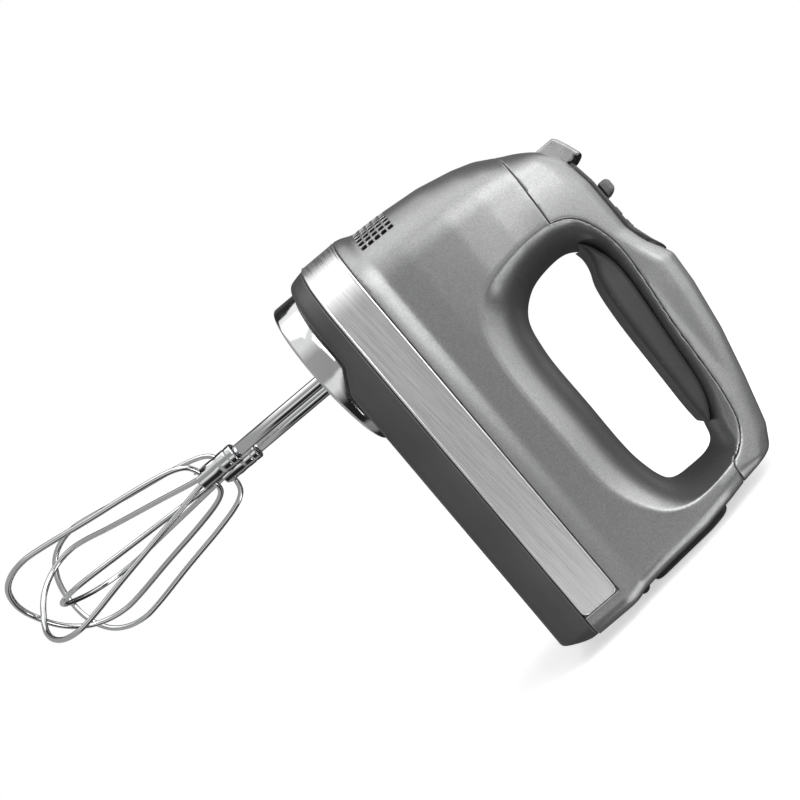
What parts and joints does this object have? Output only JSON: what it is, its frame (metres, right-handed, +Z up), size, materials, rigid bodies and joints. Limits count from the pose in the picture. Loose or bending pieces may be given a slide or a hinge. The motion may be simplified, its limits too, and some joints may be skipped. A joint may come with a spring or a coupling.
{
  "type": "electric hand mixer",
  "caption": "Hand-held electric mixer with a looped handle, a brushed band round the body, and twin wire-loop beaters that spin in opposite directions.",
  "frame": {"origin": "centre of the heel pad's flat outer face, on which the mixer stands when it is put down", "axes": "+Z up and away from the heel pad towards the nose, +X from the underside towards the handle, +Y to the mixer's right"},
  "size_m": [0.3251, 0.09, 0.212],
  "materials": {
    "silver_paint": "satin metallic flake",
    "brushed_steel": "brushed",
    "polished_chrome": "polished",
    "charcoal_plastic": "matte moulded",
    "soft_grip": "soft touch",
    "black_rubber": "matte",
    "gloss_panel": "gloss",
    "grey_knob": "satin",
    "smoked_window": "clear gloss over a dark tint",
    "black_plastic": "matte moulded",
    "board_laminate": "solder mask",
    "nylon": "moulded",
    "cast_frame": "as cast",
    "iron_lamination": "stamped",
    "steel": "ground",
    "copper": "enamelled copper",
    "brass": "turned"
  },
  "bodies": {
    "housing": {"upper_housing": "silver_paint", "top_cover": "silver_paint", "lower_housing": "charcoal_plastic", "trim_band": "brushed_steel", "beater_collar": "polished_chrome", "port_plate": "black_plastic", "handle_grip": "soft_grip", "control_panel": "gloss_panel", "display_window": "smoked_window", "vent_baffle": "charcoal_plastic", "heel_rest": "soft_grip", "circuit_board": "board_laminate", "display_module": "black_plastic", "rod_guide": "nylon", "gearbox_frame": "cast_frame", "left_spindle_bushing": "brass", "right_spindle_bushing": "brass", "stator_core": "iron_lamination", "field_coil_upper": "copper", "field_coil_lower": "copper", "front_bearing": "brass", "rear_bearing": "brass", "rear_bearing_bracket": "cast_frame", "brush_holder_left": "brass", "brush_holder_right": "brass", "carbon_brush_left": "black_plastic", "carbon_brush_right": "black_plastic", "brush_spring_left": "steel", "brush_spring_right": "steel", "housing_screw_1": "steel", "housing_screw_2": "steel", "housing_screw_3": "steel", "housing_screw_4": "steel"},
    "armature": {"armature_shaft": "steel", "armature_core": "iron_lamination", "commutator": "copper", "cooling_fan": "black_plastic", "worm": "steel"},
    "left_spindle": {"left_spindle_tube": "steel", "left_worm_gear": "nylon"},
    "right_spindle": {"right_spindle_tube": "steel", "right_worm_gear": "nylon"},
    "left_beater": {"left_beater_shaft": "polished_chrome", "left_beater_ferrule": "polished_chrome", "left_beater_shouldered_loop": "polished_chrome", "left_beater_plain_loop": "polished_chrome"},
    "right_beater": {"right_beater_shaft": "polished_chrome", "right_beater_ferrule": "polished_chrome", "right_beater_shouldered_loop": "polished_chrome", "right_beater_plain_loop": "polished_chrome"},
    "ejector": {"ejector_button": "brushed_steel", "ejector_rod": "nylon", "ejector_plate": "nylon", "ejector_spring": "steel"},
    "power_switch": {"power_switch_knob": "grey_knob"},
    "speed_up": {"speed_up_button": "grey_knob"},
    "speed_down": {"speed_down_button": "grey_knob"},
    "cord_exit": {"cord_swivel": "black_rubber", "cord_strain_relief": "black_rubber", "power_cord": "black_rubber"}
  },
  "joints": [
    {"name": "armature_spin", "type": "hinge", "parent": "housing", "child": "armature", "pos_m": [-0.01557, 0, 0.16439], "axis": [-0.0698, 0, -0.9976], "continuous": true},
    {"name": "left_spindle_spin", "type": "hinge", "parent": "housing", "child": "left_spindle", "pos_m": [-0.01557, -0.014, 0.16439], "axis": [0.9976, 0, -0.0698], "continuous": true},
    {"name": "right_spindle_spin", "type": "hinge", "parent": "housing", "child": "right_spindle", "pos_m": [-0.01557, 0.014, 0.16439], "axis": [0.9976, 0, -0.0698], "continuous": true},
    {"name": "ejector_press", "type": "slide", "parent": "housing", "child": "ejector", "axis": [-0.9976, 0, 0.0698], "range_m": [0, 0.009], "stiffness_N_per_m": 300, "deforming": ["ejector_spring"]},
    {"name": "left_beater_release", "type": "slide", "parent": "left_spindle", "child": "left_beater", "axis": [-0.9976, 0, 0.0698], "range_m": [0, 0.009]},
    {"name": "right_beater_release", "type": "slide", "parent": "right_spindle", "child": "right_beater", "axis": [-0.9976, 0, 0.0698], "range_m": [0, 0.009]},
    {"name": "power_switch_slide", "type": "slide", "parent": "housing", "child": "power_switch", "axis": [-0.0698, 0, -0.9976], "range_m": [0, 0.005]},
    {"name": "speed_up_press", "type": "slide", "parent": "housing", "child": "speed_up", "axis": [-0.9976, 0, 0.0698], "range_m": [0, 0.001]},
    {"name": "speed_down_press", "type": "slide", "parent": "housing", "child": "speed_down", "axis": [-0.9976, 0, 0.0698], "range_m": [0, 0.001]},
    {"name": "cord_swivel_turn", "type": "hinge", "parent": "housing", "child": "cord_exit", "pos_m": [-0.02846, 0, 0.0045], "axis": [0.9976, 0, -0.0698], "range_deg": [0, 180]}
  ],
  "couplings": [
    {"joint": "left_spindle_spin", "follows": "armature_spin", "ratio": 0.1},
    {"joint": "right_spindle_spin", "follows": "armature_spin", "ratio": -0.1},
    {"joint": "left_beater_release", "follows": "ejector_press", "ratio": 1},
    {"joint": "right_beater_release", "follows": "ejector_press", "ratio": 1}
  ]
}
